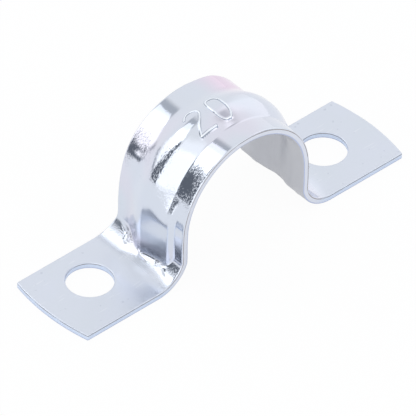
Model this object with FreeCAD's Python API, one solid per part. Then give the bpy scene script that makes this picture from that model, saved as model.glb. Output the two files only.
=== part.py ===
"""Two-hole strap for a 20 mm conduit, pressed and folded from one strip of sheet.

Frame: X runs along the strap, Y across it (front edge at -Y), Z up.  The feet stand on Z = 0.
Every length is in millimetres and every angle in degrees.
"""
import math
import os

import FreeCAD
import Part

# ---- the sizes that drive the strap ----
CONDUIT_RADIUS = 10.0       # 20 mm conduit
SEAT_PLAY = 0.1             # radial room between the conduit and the seat
SEAT_HEIGHT = 8.95          # axis of the seat above the underside of the feet
SEAT_WRAP = 1.2             # how far the seat goes past half a turn, on each side
SHEET = 0.95                # thickness of the strip
FOOT_WIDTH = 14.0
CORNER_SPAN = 55.8          # from corner to corner, along the strap
END_BULGE = 0.8             # how far each round end stands past its corners
HOLE_SPACING = 40.8
HOLE_RADIUS = 3.3           # clears an M6 screw
LEFT_HOLE_Y = 1.1           # the punch missed the middle of each foot a little
RIGHT_HOLE_Y = 0.45
FOLD_RADIUS = 4.3           # hollow side of the fold between a leg and its foot
DRAW_IN = 0.65              # how far the bead drew the back edge in over the arch
BEAD_MIDDLE = -0.5          # the pressed bead that stiffens the arch, across the strip
BEAD_HEIGHT = 1.25
BEAD_CROWN = 1.0            # width of its level top
BEAD_SLOPE = 3.8            # width of each of its sides
BEAD_END = 0.4              # the part of the fold that the bead crosses at full height
EDGE_BREAK = 0.12           # how far shearing and plating blunt every edge
FOLD_SECTIONS = 6           # sections that shape each fold
LOFT_DEGREE = 3             # cubic, which follows round sections without swinging past them

SEAT_RADIUS = CONDUIT_RADIUS + SEAT_PLAY
UNDER_RADIUS = FOLD_RADIUS + SHEET
FRONT = -FOOT_WIDTH / 2
BACK = FOOT_WIDTH / 2
V = FreeCAD.Vector


def ease(x):
    """Goes smoothly from 0 to 1 as x does."""
    x = min(max(x, 0), 1)
    return x * x * (3 - 2 * x)


def section(x, z, lean, back, height):
    """Wire across the strip: (x, z) is on its inner side and lean turns its normal up from +X.

    Each side of the bead is one cubic curve that starts and ends level. How far its two middle
    poles stand from its ends sets how tightly it turns there. On the inner side they are moved
    so that both turns keep the centre of the outer ones, and the sheet keeps its thickness.
    """
    normal = V(math.cos(math.radians(lean)), 0, math.sin(math.radians(lean)))
    pull = BEAD_SLOPE / 3
    valley_pull = math.sqrt(pull ** 2 + 2 / 3 * height * SHEET)
    crown_pull = math.sqrt(pull ** 2 - 2 / 3 * height * SHEET)
    crown = BEAD_CROWN / 2
    toe = crown + BEAD_SLOPE

    def place(y, rise):
        return V(x, y, z) + normal * rise

    def line(*ends):
        return Part.makeLine(*[place(*end) for end in ends])

    def slope(side, level, from_toe, from_crown):
        curve = Part.BezierCurve()
        curve.setPoles([
            place(BEAD_MIDDLE + side * toe, level),
            place(BEAD_MIDDLE + side * (toe - from_toe), level),
            place(BEAD_MIDDLE + side * (crown + from_crown), level + height),
            place(BEAD_MIDDLE + side * crown, level + height),
        ])
        return curve.toShape()

    def face_line(level, from_toe, from_crown):
        """One broad side of the strip, from the front edge to the back one."""
        return [
            line((FRONT, level), (BEAD_MIDDLE - toe, level)),
            slope(-1, level, from_toe, from_crown),
            line((BEAD_MIDDLE - crown, level + height), (BEAD_MIDDLE + crown, level + height)),
            slope(1, level, from_toe, from_crown),
            line((BEAD_MIDDLE + toe, level), (back, level)),
        ]

    outer = face_line(SHEET, pull, pull)
    inner = face_line(0, valley_pull, crown_pull)
    return Part.Wire(outer + [line((back, SHEET), (back, 0))]
                     + inner[::-1] + [line((FRONT, 0), (FRONT, SHEET))])


def leg_section(x, z):
    return section(x, z, -SEAT_WRAP, BACK - DRAW_IN, BEAD_HEIGHT)


def make_fold(leg_end, axis_x, start):
    """The turn from leg to foot. The bead dies away in it and the strip regains its full width."""
    sections = [leg_end]
    for i in range(1, FOLD_SECTIONS + 1):
        share = i / FOLD_SECTIONS
        fade = ease((share - BEAD_END) / (1 - BEAD_END))
        lean = start + (90 - start) * share
        sections.append(section(
            axis_x - UNDER_RADIUS * math.cos(math.radians(lean)),
            UNDER_RADIUS - UNDER_RADIUS * math.sin(math.radians(lean)),
            lean,
            BACK - DRAW_IN * (1 - ease(share)),
            BEAD_HEIGHT * (1 - fade)))
    return Part.makeLoft(sections, True, False, False, LOFT_DEGREE)


def make_foot(start_x, hole_y):
    """Flat foot with a round end and one screw hole."""
    end = CORNER_SPAN / 2
    outline = Part.Wire([
        Part.makeLine(V(end, BACK, 0), V(start_x, BACK, 0)),
        Part.makeLine(V(start_x, BACK, 0), V(start_x, FRONT, 0)),
        Part.makeLine(V(start_x, FRONT, 0), V(end, FRONT, 0)),
        Part.Arc(V(end, FRONT, 0), V(end + END_BULGE, 0, 0), V(end, BACK, 0)).toShape(),
    ])
    plate = Part.Face(outline).extrude(V(0, 0, SHEET))
    return plate.cut(Part.makeCylinder(HOLE_RADIUS, SHEET, V(HOLE_SPACING / 2, hole_y, 0)))


def make_side(seat_end, seat_end_x, seat_end_z, hole_y):
    """Leg, fold and foot on the +X side, from the end of the seat outwards."""
    wrap = math.radians(SEAT_WRAP)
    leg_z = UNDER_RADIUS + UNDER_RADIUS * math.sin(wrap)
    leg_x = seat_end_x - (seat_end_z - leg_z) * math.tan(wrap)
    leg_end = leg_section(leg_x, leg_z)
    axis_x = leg_x + UNDER_RADIUS * math.cos(wrap)
    return [
        Part.makeLoft([seat_end, leg_end], True, True),
        make_fold(leg_end, axis_x, -SEAT_WRAP),
        make_foot(axis_x, hole_y),
    ]


def sheared_edges(solid):
    """Edges where the broad faces of the sheet meet its cut rim: they are square corners."""
    found = []
    for edge in solid.Edges:
        faces = solid.ancestorsOfType(edge, Part.Face)
        middle = edge.valueAt((edge.FirstParameter + edge.LastParameter) / 2)
        normals = [face.normalAt(*face.Surface.parameter(middle)) for face in faces]
        if len(normals) == 2 and math.degrees(normals[0].getAngle(normals[1])) > 60:
            found.append(edge)
    return found


# The seat is the beaded section, turned about the conduit's axis.
seat_end_x = SEAT_RADIUS * math.cos(math.radians(SEAT_WRAP))
seat_end_z = SEAT_HEIGHT - SEAT_RADIUS * math.sin(math.radians(SEAT_WRAP))
seat_end = leg_section(seat_end_x, seat_end_z)
seat = Part.Face(seat_end).revolve(V(0, 0, SEAT_HEIGHT), V(0, -1, 0), 180 + 2 * SEAT_WRAP)

right = make_side(seat_end, seat_end_x, seat_end_z, RIGHT_HOLE_Y)
left = [piece.mirror(V(0, 0, 0), V(1, 0, 0))
        for piece in make_side(seat_end, seat_end_x, seat_end_z, LEFT_HOLE_Y)]
strap = seat.fuse(left + right).removeSplitter().Solids[0]
strap = strap.makeChamfer(EDGE_BREAK, sheared_edges(strap)).Solids[0]

os.makedirs("parts", exist_ok=True)
strap.exportStep("parts/strap.step")
print("strap:", "valid" if strap.isValid() else "not valid", len(strap.Faces), "faces,",
      round(strap.Volume, 1), "mm3,", strap.BoundBox)
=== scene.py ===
# %% [markdown]
# # A two-hole conduit strap in bright zinc
#
# The real strap starts as a flat strip of thin steel. A press punches two holes in it, pushes a
# stiffening bead up along its middle, folds it over a round former and leaves two flat feet.
# Then it is zinc plated. This lesson makes the strap in the same order: a flat strip, holes, the
# press and the folds, the number, and the plating.
#
# The frame holds the plain solid of the strap. The new strap takes its place and stays within it.

# %% Load the frame
import math

import bmesh
import bpy
from mathutils import Matrix, Vector, noise


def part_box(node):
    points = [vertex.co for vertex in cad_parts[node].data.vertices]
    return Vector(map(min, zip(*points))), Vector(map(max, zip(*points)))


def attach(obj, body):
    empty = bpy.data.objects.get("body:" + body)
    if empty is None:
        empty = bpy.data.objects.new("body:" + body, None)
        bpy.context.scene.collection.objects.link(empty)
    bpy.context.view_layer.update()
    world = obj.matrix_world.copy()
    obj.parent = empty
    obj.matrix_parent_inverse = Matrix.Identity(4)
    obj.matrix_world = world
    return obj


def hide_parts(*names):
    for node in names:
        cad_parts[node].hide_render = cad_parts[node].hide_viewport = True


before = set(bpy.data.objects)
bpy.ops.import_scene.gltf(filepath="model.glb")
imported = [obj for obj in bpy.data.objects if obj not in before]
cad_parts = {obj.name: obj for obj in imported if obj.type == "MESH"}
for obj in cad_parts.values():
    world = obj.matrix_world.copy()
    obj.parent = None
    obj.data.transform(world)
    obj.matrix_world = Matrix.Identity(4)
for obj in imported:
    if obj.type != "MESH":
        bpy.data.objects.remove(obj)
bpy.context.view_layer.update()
strap_low, strap_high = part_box("strap")
print("nodes in the frame:", list(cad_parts))
print("strap box", [round(v, 4) for v in strap_low], [round(v, 4) for v in strap_high])

# %% [markdown]
# ## Sizes
#
# Everything is in metres, and MM turns millimetres into them. The sizes are those of the solid,
# so that the new strap fits the old one. The seat is the round part that holds the conduit. Its
# axis lies 8.95 mm above the wall, and the legs below it lean in by a little over one degree.

# %% Sizes of the strip and of its folds
MM = 0.001
SHEET = 0.95 * MM
FRONT, BACK = strap_low[1], strap_high[1]
END_X = strap_high[0]
END_BULGE = 0.8 * MM
HOLE_RADIUS = 3.3 * MM
HOLES = {"left": (-20.4 * MM, 1.1 * MM), "right": (20.4 * MM, 0.45 * MM)}  # x and y of each
SEAT_RADIUS = 10.1 * MM
SEAT_HEIGHT = 8.95 * MM
SEAT_WRAP = math.radians(1.2)
UNDER_RADIUS = 5.25 * MM
BEAD_HEIGHT = 1.13 * MM
print("strip", round((BACK - FRONT) / MM, 1), "mm wide,",
      "seat", round(2 * SEAT_RADIUS / MM, 1), "mm across")

# %% [markdown]
# ## Curves that start and stop gently
#
# Pressed sheet has no sudden steps: it always curves from one level to the next. A few helpers
# give that, and every shape below is a sum of such curves. `ramp` works downwards too, when its
# start is the larger number.


# %% Gentle curves
def ease(x):
    """Goes smoothly from 0 to 1 as x does."""
    x = min(max(x, 0.0), 1.0)
    return x * x * (3 - 2 * x)


def between(x, start, end):
    """How far x is on its way from start to end, from 0 to 1."""
    return min(max((x - start) / (end - start), 0.0), 1.0)


def ramp(x, start, end):
    """0 before start, 1 after end, and smooth between them."""
    return ease((x - start) / (end - start))


def hump(x, middle, reach):
    """A smooth bump that is 1 at its middle and 0 beyond its reach."""
    return ramp(abs(x - middle), reach, 0)


def blend(a, b, share):
    return a + (b - a) * share


print("a ramp from 2 to 6:", [round(ramp(x, 2, 6), 2) for x in range(2, 7)])

# %% [markdown]
# ## The path of the strip
#
# Seen from the front, the underside of the strip follows one line: half of a round seat, a short
# leg, a quarter fold and a straight foot, and the same again the other way. A modeller could bend
# a grid with a curve modifier, but then the lengths would stretch. `along` walks the line itself:
# it is given a distance from the top of the arch and returns a point, the direction that points
# out of the sheet, and how far through the fold it is.

# %% Lengths along the path
QUARTER = math.pi / 2 + SEAT_WRAP
SEAT_RUN = SEAT_RADIUS * QUARTER
leg_top = Vector((SEAT_RADIUS * math.cos(SEAT_WRAP),
                  SEAT_HEIGHT - SEAT_RADIUS * math.sin(SEAT_WRAP)))
leg_end_z = UNDER_RADIUS * (1 + math.sin(SEAT_WRAP))
LEG_RUN = (leg_top.y - leg_end_z) / math.cos(SEAT_WRAP)
LEG_WAY = Vector((-math.sin(SEAT_WRAP), -math.cos(SEAT_WRAP)))
LEG_OUT = Vector((math.cos(SEAT_WRAP), -math.sin(SEAT_WRAP)))
fold_axis = leg_top + LEG_WAY * LEG_RUN + LEG_OUT * UNDER_RADIUS
FOLD_RUN = UNDER_RADIUS * QUARTER
FOLD_START = SEAT_RUN + LEG_RUN
FOOT_START = FOLD_START + FOLD_RUN
HALF_RUN = FOOT_START + END_X - END_BULGE - fold_axis.x
print("half of the strip is", round(HALF_RUN / MM, 1), "mm long before it is folded")


# %% Walk along the path
def along(run):
    """Point (x, z), outward direction (x, z) and share of the fold, for the side with +X."""
    if run < SEAT_RUN:
        angle = math.pi / 2 - run / SEAT_RADIUS
        out = Vector((math.cos(angle), math.sin(angle)))
        return Vector((0, SEAT_HEIGHT)) + out * SEAT_RADIUS, out, 0.0
    if run < FOLD_START:
        return leg_top + LEG_WAY * (run - SEAT_RUN), LEG_OUT, 0.0
    if run < FOOT_START:
        share = (run - FOLD_START) / FOLD_RUN
        angle = -SEAT_WRAP + share * QUARTER
        out = Vector((math.cos(angle), math.sin(angle)))
        return fold_axis - out * UNDER_RADIUS, out, share
    return Vector((fold_axis.x + run - FOOT_START, 0)), Vector((0, 1)), 1.0


for name, run in (("top", 0), ("leg", SEAT_RUN), ("fold", FOLD_START), ("foot", FOOT_START)):
    print(name, "starts at x, z", [round(c / MM, 2) for c in along(run)[0]])

# %% [markdown]
# ## The flat strip
#
# A grid is the right start: its squares are small enough to be bent later. It is made as wide
# and as long as the strip before anything else is done to it.

# %% A grid as large as the strip
STEP = 0.3 * MM
COLUMNS = 2 * round(HALF_RUN / STEP)
ROWS = round((BACK - FRONT) / STEP)

strip = bmesh.new()
bmesh.ops.create_grid(strip, x_segments=COLUMNS, y_segments=ROWS, size=1)
bmesh.ops.scale(strip, vec=(HALF_RUN, (BACK - FRONT) / 2, 1), verts=strip.verts)
print("flat grid:", len(strip.faces), "squares")

# %% [markdown]
# Each foot has one screw hole. A boolean would leave long thin triangles round it, and they show
# as dents in bright metal. Here each hole opens by taking a block of squares out and drawing the
# edge of the gap, and the rows around it, into circles, so that the squares stay regular.

# %% Where the holes lie
HOLE_BLOCK = 2.6 * MM
HOLE_EASE = 4.7 * MM


def hole_run(x):
    """Where a hole lies on the flat strip, measured from the top of the arch."""
    return math.copysign(FOOT_START + abs(x) - fold_axis.x, x)


def rows_off(co, pin):
    """How far a point is from the pin, along the strip or across it, whichever is more."""
    return max(abs(co.x - pin.x), abs(co.y - pin.y))


def ring_point(du, dv):
    """Direction on a circle for a point on a square, evenly spread along both."""
    if abs(du) >= abs(dv):
        turn = math.pi / 4 * (dv / du)
        return Vector((math.cos(turn), math.sin(turn), 0)) * math.copysign(1, du)
    turn = math.pi / 4 * (du / dv)
    return Vector((math.sin(turn), math.cos(turn), 0)) * math.copysign(1, dv)


print("holes on the flat strip at", [round(hole_run(x) / MM, 1) for x, y in HOLES.values()], "mm")


# %% Punch the holes
def punch(bm, x, y):
    """Takes a block of squares out round a grid point and draws the rows round it into rings."""
    centre = Vector((hole_run(x), y, 0))
    pin = min((v.co.copy() for v in bm.verts), key=lambda co: (co - centre).length)
    gone = [f for f in bm.faces if rows_off(f.calc_center_median(), pin) < HOLE_BLOCK]
    bmesh.ops.delete(bm, geom=gone, context="FACES")
    inner = round(HOLE_BLOCK / STEP) * STEP
    for v in bm.verts:
        reach = rows_off(v.co, pin)
        if reach < HOLE_EASE:
            share = between(reach, inner, HOLE_EASE)
            radius = blend(HOLE_RADIUS, HOLE_EASE, share)
            ring = centre + ring_point(v.co.x - pin.x, v.co.y - pin.y) * radius
            v.co = ring.lerp(v.co, ease(share))


for name, (x, y) in HOLES.items():
    punch(strip, x, y)
    print(name, "hole punched,", len(strip.faces), "squares left")

# %% [markdown]
# Each end of the strip is cut to a shallow arc, and the cut is a little askew. The last few rows
# are pushed out, the middle most. A hair is held back, so that the tip stays within the solid.

# %% Round the ends
END_ROWS = 3.5 * MM
END_SKEW = 0.2 * MM
END_MARGIN = 0.03 * MM
for v in strip.verts:
    into_end = ramp(abs(v.co.x), HALF_RUN - END_ROWS, HALF_RUN)
    bulge = (END_BULGE - END_MARGIN) * (1 - (v.co.y / BACK) ** 2) * into_end
    skew = END_SKEW if v.co.x < 0 or v.co.y > 0 else END_SKEW / 4
    v.co.x += math.copysign(bulge, v.co.x)
    v.co.x -= skew * v.co.y / BACK * into_end
ends = min(v.co.x for v in strip.verts), max(v.co.x for v in strip.verts)
print("ends of the strip:", [round(end / MM, 1) for end in ends], "mm from the top of the arch")

# %% [markdown]
# Then the strip gets its thickness, and every sheared edge is blunted by a small bevel. Doing this
# while the strip is flat is easier than afterwards: every edge of the rim is a right angle here.

# %% Thickness and blunt edges
RIM_BLUNT = 0.13 * MM
RIM_ANGLE = math.radians(60)
body = bmesh.ops.extrude_face_region(strip, geom=list(strip.faces))
top_verts = [g for g in body["geom"] if isinstance(g, bmesh.types.BMVert)]
bmesh.ops.translate(strip, vec=(0, 0, SHEET), verts=top_verts)
bmesh.ops.recalc_face_normals(strip, faces=strip.faces)
rim = [e for e in strip.edges if len(e.link_faces) == 2 and e.calc_face_angle() > RIM_ANGLE]
bmesh.ops.bevel(strip, geom=rim, offset=RIM_BLUNT, offset_type="OFFSET", segments=2,
                profile=0.5, affect="EDGES", material=-1, clamp_overlap=True)
print("strip with thickness:", len(strip.faces), "faces,", len(rim), "rim edges blunted")

# %% [markdown]
# ## Finer squares where the press leaves detail
#
# The folds hold small creases, the front of the bead has a crisp toe and the arch holds a number,
# so the upper squares there are divided. Squares as fine as that all over the strip would make it
# several times heavier for nothing. `use_grid_fill` keeps the new squares in rows.


# %% Divide the upper squares
LOOKS_UP = 0.9
TOE_Y = -4 * MM
NUMBER_X = (-4.6 * MM, 1.8 * MM)
NUMBER_Y = (-3.5 * MM, 2.4 * MM)


def near_number(run, y):
    return NUMBER_X[0] < run < NUMBER_X[1] and NUMBER_Y[0] < y < NUMBER_Y[1]


def on_legs_and_folds(run, y):
    return SEAT_RUN - 5 * MM < abs(run) < FOOT_START and FRONT + STEP < y < BACK - STEP


def near_toe(run, y):
    return abs(run) < SEAT_RUN - 4 * MM and abs(y - TOE_Y) < 0.8 * MM


def refine(bm, cuts, wanted):
    """Divides the upper faces whose middle is in the wanted place."""
    upper = [f for f in bm.faces if f.normal.z > LOOKS_UP]
    chosen = [f for f in upper if wanted(*f.calc_center_median().xy)]
    edges = list(dict.fromkeys(e for f in chosen for e in f.edges))
    bmesh.ops.subdivide_edges(bm, edges=edges, cuts=cuts, use_grid_fill=True)
    print("refined to", len(bm.faces), "faces")


refine(strip, 1, on_legs_and_folds)
refine(strip, 1, near_toe)
refine(strip, 4, near_number)

# %% [markdown]
# A finish that follows the sheet has to know where it is on the flat strip. So each point keeps
# its place there as an attribute: how far along, how far across, and how deep in the sheet,
# where 0 is the outer face and 1 the inner one. A second attribute will say where the figures are.

# %% Remember the flat place of every point
flat_place = strip.verts.layers.float_vector.new("flat_place")
for v in strip.verts:
    v[flat_place] = (v.co.x / MM, v.co.y / MM, 1 - v.co.z / SHEET)
figure = strip.verts.layers.float.new("figure")
print("flat place kept on", len(strip.verts), "points")

# %% [markdown]
# ## The press
#
# The bead is a long hump that makes thin sheet stiff. Sculpting it by hand would leave dents, so
# it is a height worked out for every point, from the place across the strip. Over the arch it has
# a narrow flat top, a crisp toe in front and a soft slope behind. On the left leg it was pressed
# against the edge of the tool, so it has a low step, a flat panel and a ridge. The right leg is
# smoother. In these profiles y is in millimetres and 1 is the height of the bead over the arch.

# %% Places and heights of the three profiles
ARCH_TOE, ARCH_FULL, ARCH_BACK = -3.9, -0.6, 3.8
SOFT_TOE = 0.25
STEP_LOW, STEP_HIGH, PANEL_LOW = -5.4, -4.6, -4.7
RIDGE, LEG_BACK = 0.1, 4.7
LEG_STEP, LEG_PANEL = 0.6, 0.48
RIGHT_MIDDLE, RIGHT_TOP, RIGHT_EDGE = 0.2, 0.5, 5.1
RIGHT_HEIGHT = 1.25
LEG_PROFILE = (11.5, 16.0)  # mm from the top, where the arch's profile turns into a leg's
print("ridge of the left leg:", round((LEG_STEP + LEG_PANEL) * BEAD_HEIGHT / MM, 2), "mm")


# %% The bead across the strip
def arch_bead(y):
    if y < 0:
        up = between(y, ARCH_TOE, ARCH_FULL)
        return blend(up * (2 - up), ease(up), SOFT_TOE)
    return ramp(y, ARCH_BACK, 0)


def left_leg_bead(y):
    if y < RIDGE:
        return LEG_STEP * ramp(y, STEP_LOW, STEP_HIGH) + LEG_PANEL * between(y, PANEL_LOW, RIDGE)
    return (LEG_STEP + LEG_PANEL) * ramp(y, LEG_BACK, RIDGE)


def right_leg_bead(y):
    return RIGHT_HEIGHT * ramp(abs(y - RIGHT_MIDDLE), RIGHT_EDGE, RIGHT_TOP)


def bead_across(run, y):
    """Height of the bead in metres, away from the folds."""
    on_leg = ramp(abs(run) / MM, *LEG_PROFILE)
    leg = left_leg_bead(y / MM) if run < 0 else right_leg_bead(y / MM)
    return BEAD_HEIGHT * blend(arch_bead(y / MM), leg, on_leg)


for name, run in (("left leg", -FOLD_START), ("arch", 0), ("right leg", FOLD_START)):
    print(name, "bead, mm, from front to back:",
          [round(bead_across(run, y * MM) / MM, 2) for y in (-6, -4, -2, 0, 2, 4, 6)])

# %% [markdown]
# In the fold the bead does not fade away. It goes straight down until it meets the curve of the
# fold, and there it ends in a crease with a low swelling below it. Fading it out would look like
# melted wax. The line of the bead's top lies at the radius less its height from the axis of the
# fold, over the cosine of the turn, and what is left of the radius is its height over the fold.

# %% The end of the bead in the fold
INNER_FOLD = UNDER_RADIUS - SHEET
LEAN_LEFT, LEAN_RIGHT, LEAN_BACK = 0.23, 0.12, 0.32  # mm
BEAD_GONE = 0.8
CREASE_SOFTNESS = 0.14
SWELLING = 0.40 * MM


def lean(run, y):
    """How far the leg stands off its path before the fold, more at the back than in front."""
    front = LEAN_LEFT if run < 0 else LEAN_RIGHT
    return blend(front, LEAN_BACK, ramp(y / MM, -2, 3)) * MM * ramp(abs(run) / MM, 13, 19)


def straight_on(height, share):
    """Height over the fold of a line that goes straight on, down to where the two meet."""
    if share >= BEAD_GONE:
        return 0.0
    rise = INNER_FOLD - (INNER_FOLD - height) / math.cos(share * QUARTER)
    rise = (rise + math.hypot(rise, CREASE_SOFTNESS * height)) / 2
    return rise * (1 - ramp(share, 0.55, 0.75))


def swelling(share, y):
    return SWELLING * hump(share, 0.80, 0.42) * ramp(abs(y / MM + 2), 4.84, 0.44)


def bead(run, y):
    """Height of the bead anywhere on the strip."""
    height = bead_across(run, y) + lean(run, y)
    share = (abs(run) - FOLD_START) / FOLD_RUN
    return straight_on(height, share) + swelling(share, y) if share > 0 else height


def bead_slope(run, y):
    reach = 0.02 * MM
    return (bead(run, y + reach) - bead(run, y - reach)) / (2 * reach)


for share in (0, 0.25, 0.5, 0.75, 1):
    height = bead(-FOLD_START - share * FOLD_RUN, 0)
    print("bead", share, "through the left fold:", round(height / MM, 2), "mm")

# %% [markdown]
# Where the toes of the bead run into the fold, the sheet had to crumple a little. Each crease is a
# short shallow groove with a raised lip beside it. It could be painted in the material as a bump,
# but a real groove also breaks the edge of a reflection. Two more creases lie on the back of the
# arch.

# %% Creases
CREASES = [  # run, y, length, width, depth and turn on the flat strip, in millimetres and degrees
    (-10.0, 4.9, 1.7, 0.34, 0.05, 90), (-9.4, 3.6, 1.0, 0.30, 0.05, 15),
    (-22.9, 4.6, 1.5, 0.28, 0.10, 62), (-23.6, 3.5, 1.4, 0.25, 0.12, 20),
    (-24.3, 3.0, 1.0, 0.30, 0.08, 95), (-24.0, 0.2, 1.6, 0.25, 0.13, 35),
    (-24.6, -0.9, 1.1, 0.30, 0.07, 80), (-23.8, -3.9, 1.3, 0.26, 0.12, 120),
    (-24.3, -4.9, 1.1, 0.28, 0.10, 60), (23.2, 4.2, 1.4, 0.30, 0.08, 120),
    (23.9, -0.4, 1.5, 0.30, 0.08, 85), (23.3, -4.4, 1.4, 0.30, 0.08, 60),
]
CREASE_REACH = 3
CREASE_LIP = 1.2


def creases(run, y):
    """Height that the creases add, which is mostly below 0."""
    rise = 0.0
    for at_run, at_y, length, width, depth, turn in CREASES:
        u, w = run / MM - at_run, y / MM - at_y
        if abs(u) > CREASE_REACH or abs(w) > CREASE_REACH:
            continue
        turn = math.radians(turn)
        lengthways = u * math.cos(turn) + w * math.sin(turn)
        sideways = (w * math.cos(turn) - u * math.sin(turn)) / width
        groove = (1 - CREASE_LIP * sideways) * math.exp(-sideways ** 2)
        rise -= depth * MM * hump(lengthways, 0, length) * groove
    return rise


print(len(CREASES), "creases, the deepest", max(crease[4] for crease in CREASES), "mm")

# %% [markdown]
# Rolled and pressed sheet is never quite flat. A very low waviness, of about a hundredth of a
# millimetre, keeps the arch from being a perfect mirror. The edges of the arch don't lie quite
# level either: the back edge dips on the left and lifts on the right, and the front edge dips on
# the left shoulder. The feet stay flat, because they lie on the wall.

# %% Waviness and uneven edges
WAVES = [(3.1, 4.0, 0.3, 0.016), (1.3, 1.6, 5.7, 0.0045)]  # length, width, noise layer and height, mm
BACK_DIP, BACK_LIFT, FRONT_DIP = 0.12, 0.19, 0.15  # mm


def waviness(run, y):
    on_foot = ramp(abs(run), FOLD_START, FOOT_START)
    height = sum(high * noise.noise(Vector((run / (long * MM), y / (wide * MM), layer)))
                 for long, wide, layer, high in WAVES)
    return height * MM * (1 - on_foot)


def flare(run, y):
    """How far the edges stand off the plain curve."""
    run, y = run / MM, y / MM
    left = -BACK_DIP * ramp(y, 2.5, 6.5) * ramp(run, -17, -13)
    right = BACK_LIFT * ramp(y, -0.5, 4.5) * ramp(run, 22, 17)
    front = -FRONT_DIP * ramp(y, -3.4, -7.0) * hump(run, -9, 8)
    return (blend(left, right, ramp(run, 1.5, 5.5)) + front) * MM


print("back edge at 12 mm left and right of the top:",
      [round(flare(run * MM, BACK) / MM, 2) for run in (-12, 12)], "mm")

# %% [markdown]
# ## The number
#
# The size of the conduit stands up from the arch as two plain figures. Text from a font would
# have other shapes and would need a boolean, so each stroke is a thin ridge, and its height
# depends only on how near a point is to the line of the stroke. The lines are in millimetres on
# the flat strip.

# %% Lines of the two figures
TWO = [(-3.78, 0.85), (-3.45, 1.35), (-3.0, 1.62), (-2.5, 1.55), (-2.05, 1.2), (-1.85, 0.65),
       (-1.95, 0.1), (-2.35, -0.5), (-3.1, -1.45), (-3.85, -2.66), (-1.62, -2.74)]
NOUGHT_MIDDLE = (0.26, -0.62)
NOUGHT_HALF = (0.90, 2.18)
NOUGHT_POINTS = 32
NOUGHT_POWER = 2.8  # 2 would be an ellipse, and more is squarer


def nought_point(turn):
    """A point on the nought, which is an ellipse with flattened sides."""
    c, s = math.cos(turn), math.sin(turn)
    reach = 1 / (abs(c) ** NOUGHT_POWER + abs(s) ** NOUGHT_POWER) ** (1 / NOUGHT_POWER)
    return (NOUGHT_MIDDLE[0] + NOUGHT_HALF[0] * reach * c,
            NOUGHT_MIDDLE[1] + NOUGHT_HALF[1] * reach * s)


NOUGHT = [nought_point(math.tau * step / NOUGHT_POINTS) for step in range(NOUGHT_POINTS + 1)]
STROKES = [(Vector(a), Vector(b)) for line in (TWO, NOUGHT) for a, b in zip(line, line[1:])]
print(len(STROKES), "strokes")

# %% Height of the figures
STROKE_HALF = 0.20
STROKE_SIDE = 0.12
STROKE_HEIGHT = 0.11 * MM
SPREAD = 1 + (SHEET + BEAD_HEIGHT) / SEAT_RADIUS  # how much the outer face is longer


def number(run, y):
    """Height of the raised figures above the bead, from 0 to 1."""
    if not near_number(run, y):
        return 0.0
    place = Vector((run / MM, y / MM))
    nearest = STROKE_HALF
    for a, b in STROKES:
        share = min(max((place - a).dot(b - a) / (b - a).length_squared, 0), 1)
        gap = place - a.lerp(b, share)
        nearest = min(nearest, math.hypot(gap.x * SPREAD, gap.y))
    return ramp(nearest, STROKE_HALF, STROKE_HALF - STROKE_SIDE)


foot_of_two = number(-2.7 * MM, -2.7 * MM)
print("the foot of the 2 stands up", round(foot_of_two * STROKE_HEIGHT / MM, 2), "mm")

# %% [markdown]
# ## The fold
#
# Now the strip is bent. Each point goes to its place along the path, out of the sheet by its
# height, and over the bead. A point inside the sheet is moved at right angles to the slope of the
# bead, so the sheet keeps its thickness. Where the bead was pressed up, it drew the back edge in.

# %% Where a point of the flat strip goes
SKIN = 0.02 * MM
DRAW_IN_ARCH, DRAW_IN_LEGS = 0.45 * MM, 0.95 * MM
DRAW_IN_CHANGE = (8, 17)  # mm from the top, where the first turns into the second


def folded(co):
    run, y, depth = co.x, co.y, SHEET - co.z
    point, out, share = along(abs(run))
    slope = bead_slope(run, y)
    square = math.hypot(1, slope)
    rise = SHEET + bead(run, y) + creases(run, y) + waviness(run, y) + flare(run, y) - depth / square
    if depth < SKIN:
        rise += STROKE_HEIGHT * number(run, y)
    if y > 0:
        draw_in = blend(DRAW_IN_ARCH, DRAW_IN_LEGS, ramp(abs(run) / MM, *DRAW_IN_CHANGE))
        y *= 1 - draw_in * (1 - ease(share)) / BACK
    y += depth * slope / square
    point = point + out * rise
    return Vector((math.copysign(1, run) * point.x, y, point.y))


print("top of the arch goes to", [round(c / MM, 2) for c in folded(Vector((0, 0, SHEET)))])

# %% Fold the strip
for v in strip.verts:
    v[figure] = number(v.co.x, v.co.y) if v.co.z > SHEET - SKIN else 0.0
    v.co = folded(v.co)
bmesh.ops.recalc_face_normals(strip, faces=strip.faces)

mesh = bpy.data.meshes.new("pressed_strap")
strip.to_mesh(mesh)
strip.free()
mesh.shade_smooth()
pressed_strap = bpy.data.objects.new("pressed_strap", mesh)
bpy.context.collection.objects.link(pressed_strap)
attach(pressed_strap, "root")
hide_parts("strap")
print("pressed strap:", len(mesh.polygons), "faces")

# %% [markdown]
# ## Shader maths
#
# A shader is a graph of small sums. Wiring them one by one is slow to write and to read. The class
# below wraps a socket, so that a sum can be written as one line of Python and adds its own Math
# nodes. Colours are mixed by a node of their own, because a Math node would turn them grey.


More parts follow.
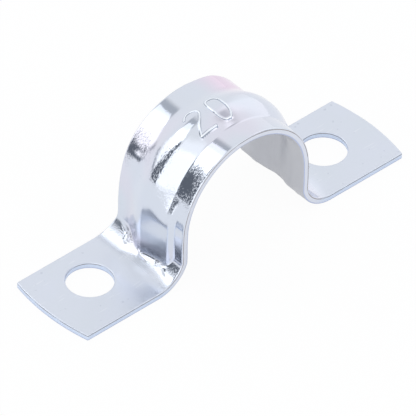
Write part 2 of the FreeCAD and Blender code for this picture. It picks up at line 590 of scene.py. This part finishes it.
# %% A socket that can be added and multiplied
class Graph:
    """Adds nodes to one node tree."""

    def __init__(self, owner):
        owner.use_nodes = True
        self.tree = owner.node_tree
        self.tree.nodes.clear()

    def node(self, kind, settings=None, **values):
        """Adds a node. A socket is called by its name, with _ for a space, or by _ and its number."""
        made = self.tree.nodes.new(kind)
        for name, value in (settings or {}).items():
            setattr(made, name, value)
        for name, value in values.items():
            place = int(name[1:]) if name[1:].isdigit() else name.replace("_", " ")
            self.plug(made.inputs[place], value)
        return made

    def plug(self, socket, value):
        if isinstance(value, Term):
            value = value.socket
        if isinstance(value, bpy.types.NodeSocket):
            self.tree.links.new(value, socket)
        else:
            socket.default_value = value

    def term(self, socket):
        return Term(self, socket)

    def maths(self, operation, *values):
        made = self.node("ShaderNodeMath", {"operation": operation})
        for socket, value in zip(made.inputs, values):
            self.plug(socket, value)
        return self.term(made.outputs[0])

    def mix(self, share, low, high):
        """A colour between two others."""
        made = self.node("ShaderNodeMix", {"data_type": "RGBA"}, _0=share, _6=low, _7=high)
        return made.outputs[2]


class Term:
    """A number that a shader works out."""

    def __init__(self, graph, socket):
        self.graph = graph
        self.socket = socket

    def __add__(self, other):
        return self.graph.maths("ADD", self, other)

    __radd__ = __add__

    def __sub__(self, other):
        return self.graph.maths("SUBTRACT", self, other)

    def __rsub__(self, other):
        return self.graph.maths("SUBTRACT", other, self)

    def __mul__(self, other):
        return self.graph.maths("MULTIPLY", self, other)

    __rmul__ = __mul__

    def ramp(self, low, high):
        """0 below low, 1 above high, and smooth between them."""
        made = self.graph.node("ShaderNodeMapRange", {"interpolation_type": "SMOOTHSTEP"},
                               _0=self, _1=low, _2=high)
        return self.graph.term(made.outputs[0])


print("a term can do:", [name for name in vars(Term) if name.startswith("__r")], "and more")

# %% [markdown]
# ## Bright zinc
#
# Zinc plating is a thin bright coat over the whole strap, the sheared edges too. Metal has hardly
# any colour of its own, so most of its look is shine and surroundings. The material adds what the
# coat does: a cool tone, a faint tint, grain where the sheet was stretched, and duller feet. It also
# adds painted shade and highlights: a darker inside, dark sides and bright tops on the figures, and
# a dark line under the upper edge of each wall. It reads the flat place of each point, so every
# mark follows the folds.

# %% Places on the sheet
zinc = bpy.data.materials.new("bright_zinc")
pressed_strap.data.materials.append(zinc)
g = Graph(zinc)
strip_place = g.node("ShaderNodeAttribute", {"attribute_name": "flat_place"}).outputs["Vector"]
split = g.node("ShaderNodeSeparateXYZ", Vector=strip_place)
run, across, depth = (g.term(split.outputs[i]) for i in range(3))
far = g.maths("ABSOLUTE", run)

inner_face = depth.ramp(0.9, 0.97)
on_wall = depth.ramp(0.03, 0.12) * (1 - inner_face)
on_leg = far.ramp(13.0, 16.0) * (1 - far.ramp(22.0, 24.0)) * across.ramp(-5.1, -4.4)
on_foot = far.ramp(23.5, 27.5)
stretched = far.ramp(4.5, 9.0) * (1 - far.ramp(12.5, 14.5)) + far.ramp(21.5, 23.0) * (1 - on_foot)
print("places take", len(zinc.node_tree.nodes), "nodes")


# %% Cool zinc with a faint tint, and painted shade inside
def cloud(scale, detail=2.0, stretch=(1, 1, 1)):
    """Soft noise from 0 to 1. The scale is in patches per millimetre of the flat strip."""
    placed = g.node("ShaderNodeMapping", Vector=strip_place, Scale=tuple(scale * k for k in stretch))
    made = g.node("ShaderNodeTexNoise", Vector=placed.outputs[0], Scale=1.0, Detail=detail)
    return g.term(made.outputs["Fac"])


COOL_GREY, COOL_BLUE = (0.68, 0.73, 0.80, 1), (0.70, 0.74, 0.85, 1)
LILAC, PINK = (0.78, 0.71, 0.82, 1), (0.88, 0.62, 0.79, 1)
INSIDE_SHADE_GREY = (0.60, 0.61, 0.65, 1)
lilac = cloud(0.11, 1.0).ramp(0.48, 0.7) * (1 - on_foot)
pink = run.ramp(1.0, 6.0) * (1 - run.ramp(8.0, 13.0))
pink = pink * across.ramp(-1.0, 4.0) * (1 - across.ramp(6.5, 8.5))
colour = g.mix(cloud(0.16), COOL_GREY, COOL_BLUE)
colour = g.mix(lilac * 0.4, colour, LILAC)
colour = g.mix(pink * 0.62, colour, PINK)
# The inside is painted a darker grey: painted shade for the shaded table that it faces under the
# strap.
colour = g.mix(inner_face, colour, INSIDE_SHADE_GREY)
print("plain zinc takes", len(zinc.node_tree.nodes), "nodes")

# %% [markdown]
# A strap that has lain in a box with others has a few pits and fine scratches on its feet. Both
# are noise that is cut off high up, so that only its peaks show. For the scratches the noise is
# squeezed across the strip and drawn out along it.

# %% Pits and scratches on the feet
PIT_GREY, SCRATCH_GREY = (0.46, 0.50, 0.60, 1), (0.88, 0.91, 0.97, 1)
pits = cloud(1.5, 0.0).ramp(0.76, 0.82) * on_foot * (1 - inner_face)
scratches = cloud(1.3, 0.0, (0.25, 3.0, 0)).ramp(0.74, 0.80) * on_foot
colour = g.mix(pits * 0.35, colour, PIT_GREY)
colour = g.mix(scratches * 0.3, colour, SCRATCH_GREY)
print("with marks, zinc takes", len(zinc.node_tree.nodes), "nodes")

# %% [markdown]
# The steep sides of the raised figures are painted dark as shade, and their tops get a painted
# highlight. The sheared wall of the sheet has a thin line of painted shade under its upper edge,
# below the rounded edge, and is bluer towards the bottom. Both are found from the attributes, so
# no mask has to be painted.

# %% Figures and sheared walls, with painted shade and highlights
FIGURE_SIDE_SHADE, FIGURE_TOP_HIGHLIGHT = (0.30, 0.34, 0.42, 1), (0.88, 0.93, 1.0, 1)
WALL_ARCH, WALL_FOOT = (0.75, 0.78, 0.87, 1), (0.72, 0.80, 0.94, 1)
WALL_LOW, WALL_SHADE_LINE = (0.46, 0.53, 0.76, 1), (0.30, 0.27, 0.26, 1)
raised = g.term(g.node("ShaderNodeAttribute", {"attribute_name": "figure"}).outputs["Fac"])
# Painted shade on the steep sides of the figures, and a painted highlight on their tops.
painted_figure_shade = raised.ramp(0.0, 0.15) * (1 - raised.ramp(0.5, 0.85))
painted_figure_highlight = raised.ramp(0.5, 0.95) * cloud(0.9).ramp(0.25, 0.5)
colour = g.mix(painted_figure_shade, colour, FIGURE_SIDE_SHADE)
colour = g.mix(painted_figure_highlight, colour, FIGURE_TOP_HIGHLIGHT)

# A thin line of painted shade under the upper edge of every sheared wall, the holes' walls too.
painted_wall_shade = depth.ramp(0.10, 0.15) * (1 - depth.ramp(0.19, 0.27)) * cloud(0.4).ramp(0.2, 0.5)
wall_colour = g.mix(on_foot, WALL_ARCH, WALL_FOOT)
wall_colour = g.mix(depth.ramp(0.72, 0.9), wall_colour, WALL_LOW)
wall_colour = g.mix(painted_wall_shade, wall_colour, WALL_SHADE_LINE)
colour = g.mix(on_wall, colour, wall_colour)
print("with figures and walls, zinc takes", len(zinc.node_tree.nodes), "nodes")

# %% [markdown]
# Stretched sheet turns grainy, which breaks up the edge of a dark reflection. The grain is a bump
# of two hundredths of a millimetre, strong only where the sheet was stretched. The shine is
# highest on the arch, and lower on the legs, the feet, the inside and the sheared walls.

# %% Grain and shine
GRAIN_HEIGHT = 0.02 * MM
ARCH_ROUGHNESS = 0.085
grain = cloud(4.2, 2.0, (0.8, 1.1, 0)).ramp(0.45, 0.75)
grain_share = 0.05 + 0.7 * stretched * cloud(0.35).ramp(0.35, 0.65)
bump = g.node("ShaderNodeBump", Height=grain * grain_share * (1 - on_wall), Strength=1.0,
              Distance=GRAIN_HEIGHT)
dullness = on_foot * 0.25 + on_leg * 0.11 + inner_face * 0.25 + on_wall * 0.25
roughness = ARCH_ROUGHNESS + dullness + (cloud(0.5) - 0.5) * 0.05
metal = g.node("ShaderNodeBsdfPrincipled", Base_Color=colour, Metallic=1.0, Roughness=roughness,
               Normal=bump.outputs["Normal"])
g.node("ShaderNodeOutputMaterial", Surface=metal.outputs[0])
print("bright zinc takes", len(zinc.node_tree.nodes), "nodes")

# %% [markdown]
# ## The floor
#
# The strap lies on a white table. A real white table under a camera is bright because it is lit,
# but enough light for that would bleach the metal. So the floor is matt and pale for the light
# that falls on the strap, and nearly plain white for what the camera sees. Holding back the last
# twentieth keeps a faint shadow. It lies a hair below the feet, so the two don't fight.

# %% Floor
FLOOR_SIZE = 4.0
FLOOR_GAP = 0.05 * MM
SEEN_WHITE, REFLECTED_WHITE = 0.95, 0.6
bm = bmesh.new()
bmesh.ops.create_grid(bm, x_segments=1, y_segments=1, size=FLOOR_SIZE / 2)
floor_mesh = bpy.data.meshes.new("floor")
bm.to_mesh(floor_mesh)
bm.free()
floor = bpy.data.objects.new("floor", floor_mesh)
bpy.context.collection.objects.link(floor)
floor.location.z = -FLOOR_GAP

pale = bpy.data.materials.new("pale_floor")
floor.data.materials.append(pale)
g = Graph(pale)
rays = g.node("ShaderNodeLightPath").outputs
matt = g.node("ShaderNodeBsdfDiffuse", Color=(0.86, 0.88, 0.90, 1))
white = g.node("ShaderNodeEmission", Color=(1, 1, 1, 1), Strength=1.0)
seen = g.maths("MAXIMUM", rays["Is Camera Ray"], rays["Is Transmission Ray"]) * SEEN_WHITE
share = g.maths("MAXIMUM", seen, g.term(rays["Is Glossy Ray"]) * REFLECTED_WHITE)
mixed = g.node("ShaderNodeMixShader", _0=share, _1=matt.outputs[0], _2=white.outputs[0])
g.node("ShaderNodeOutputMaterial", Surface=mixed.outputs[0])
print("floor", FLOOR_SIZE, "m wide,", len(pale.node_tree.nodes), "nodes")

# %% [markdown]
# ## The studio
#
# Bright metal shows what stands around it, so a product studio hangs white panels and black cards
# round the table. Real panels would be meshes that cast shadows and hide the view. Here they are
# patches of the world's light instead: each covers a range of turn and height, in degrees. Turn 0
# is straight behind the strap, and turn 90 is to its right.

# %% Directions round the strap
world = bpy.data.worlds.new("studio")
bpy.context.scene.world = world
g = Graph(world)
way = g.node("ShaderNodeSeparateXYZ", Vector=g.node("ShaderNodeTexCoord").outputs["Generated"])
east, north, rise = (g.term(way.outputs[i]) for i in range(3))
turn = g.maths("ARCTAN2", east, north) * math.degrees(1)
height = g.maths("ARCSINE", rise) * math.degrees(1)


def panel(turn_low, turn_high, height_low, height_high, soft):
    """1 inside a panel, 0 outside it, and soft at its edges."""
    return (turn.ramp(turn_low - soft, turn_low + soft)
            * (1 - turn.ramp(turn_high - soft, turn_high + soft))
            * height.ramp(height_low - soft, height_low + soft)
            * (1 - height.ramp(height_high - soft, height_high + soft)))


print("directions take", len(world.node_tree.nodes), "nodes")

# %% Panels and cards
AIR, DARKEST = 0.98, 0.17
PANELS = [  # turn from and to, height from and to, softness, and how much light it adds
    (-52, -16, 11, 50, 4, 0.44),
    (-138, -70, 1, 52, 4, 0.45),
    (-155, -72, 50, 68, 7, 0.24),
    (58, 92, -10, 52, 9, 0.16),
    (118, 162, -12, 24, 5, -0.66),
    (112, 168, 30, 60, 6, 0.40),
    (-172, -146, -12, 40, 5, -0.60),
    (-71, -53, 8, 56, 2.5, -0.84),
    (-71, -51, -9, 20, 2.5, -0.84),
    (-62, -12, -14, 6, 3, -0.46),
    (-23, 10, 43, 67, 7, -0.42),
    (72, 112, 50, 68, 9, -0.32),
]
glow = AIR
for *edges, light in PANELS:
    glow = glow + panel(*edges) * light
glow = g.maths("MAXIMUM", glow, DARKEST)
panels = sum(light > 0 for *edges, light in PANELS)
print(panels, "panels and", len(PANELS) - panels, "cards")

# %% [markdown]
# Dark cards look a little blue, as shade does. The camera itself sees plain white all round, like
# the floor, so the cards show only in the metal.

# %% Colour of the studio
SHADE_BLUE, PLAIN = (0.84, 0.93, 1.08, 1), (1.0, 1.0, 1.0, 1)
seen = g.term(g.node("ShaderNodeLightPath").outputs["Is Camera Ray"])
glow = glow * (1 - seen) + seen
air_colour = g.mix(glow.ramp(0.1, 0.9), SHADE_BLUE, PLAIN)
air = g.node("ShaderNodeBackground", Color=air_colour, Strength=glow)
g.node("ShaderNodeOutputWorld", Surface=air.outputs[0])
print("studio takes", len(world.node_tree.nodes), "nodes")

# %% [markdown]
# ## One lamp
#
# The world gives nearly all the light. One weak square lamp above and behind the strap adds a
# direction to it, which the eye reads from the faint shadow on the table.

# %% Lamp
LAMP_WAY = Vector((-0.35, 0.55, 0.8)).normalized()
LAMP_DISTANCE = 0.5
lamp = bpy.data.lights.new("overhead", "AREA")
lamp.shape = "SQUARE"
lamp.size = 0.25
lamp.energy = 0.15
overhead = bpy.data.objects.new("overhead", lamp)
bpy.context.collection.objects.link(overhead)
overhead.matrix_world = (Matrix.Translation(LAMP_WAY * LAMP_DISTANCE)
                         @ LAMP_WAY.to_track_quat("Z", "Y").to_matrix().to_4x4())
print("lamp of", round(lamp.energy, 2), "W at", LAMP_DISTANCE, "m")

# %% [markdown]
# ## The camera
#
# A small part is usually shown from far off through a long lens, so that its lines stay nearly
# parallel. The camera stands to the left and in front, looks down by a little over 42 degrees, and
# is rolled by one degree. The lens follows from the distance and from the width of the view.

# %% Camera
VIEW_AZIMUTH = math.radians(41.83)
VIEW_ELEVATION = math.radians(42.44)
VIEW_ROLL = math.radians(1.08)
VIEW_DISTANCE = 1.863
VIEW_WIDTH = 55.5333 * MM
VIEW_RIGHT, VIEW_UP = -0.3938 * MM, 1.9143 * MM

look = Vector((math.sin(VIEW_AZIMUTH) * math.cos(VIEW_ELEVATION),
               math.cos(VIEW_AZIMUTH) * math.cos(VIEW_ELEVATION), -math.sin(VIEW_ELEVATION)))
level = Vector((math.cos(VIEW_AZIMUTH), -math.sin(VIEW_AZIMUTH), 0))
upright = level.cross(look)
right = level * math.cos(VIEW_ROLL) + upright * math.sin(VIEW_ROLL)
up = upright * math.cos(VIEW_ROLL) - level * math.sin(VIEW_ROLL)
spot = right * VIEW_RIGHT + up * VIEW_UP - look * VIEW_DISTANCE

lens = bpy.data.cameras.new("camera")
lens.sensor_width = 36
lens.lens = lens.sensor_width * VIEW_DISTANCE / VIEW_WIDTH
lens.clip_end = 10
camera = bpy.data.objects.new("camera", lens)
bpy.context.collection.objects.link(camera)
camera.matrix_world = Matrix.Translation(spot) @ Matrix((right, up, -look)).transposed().to_4x4()
bpy.context.scene.camera = camera
bpy.context.scene.view_settings.view_transform = "Standard"
print("lens", round(lens.lens), "mm")

# %% [markdown]
# ## The size
# #
# # The finished strap has to stay within the box of the solid.
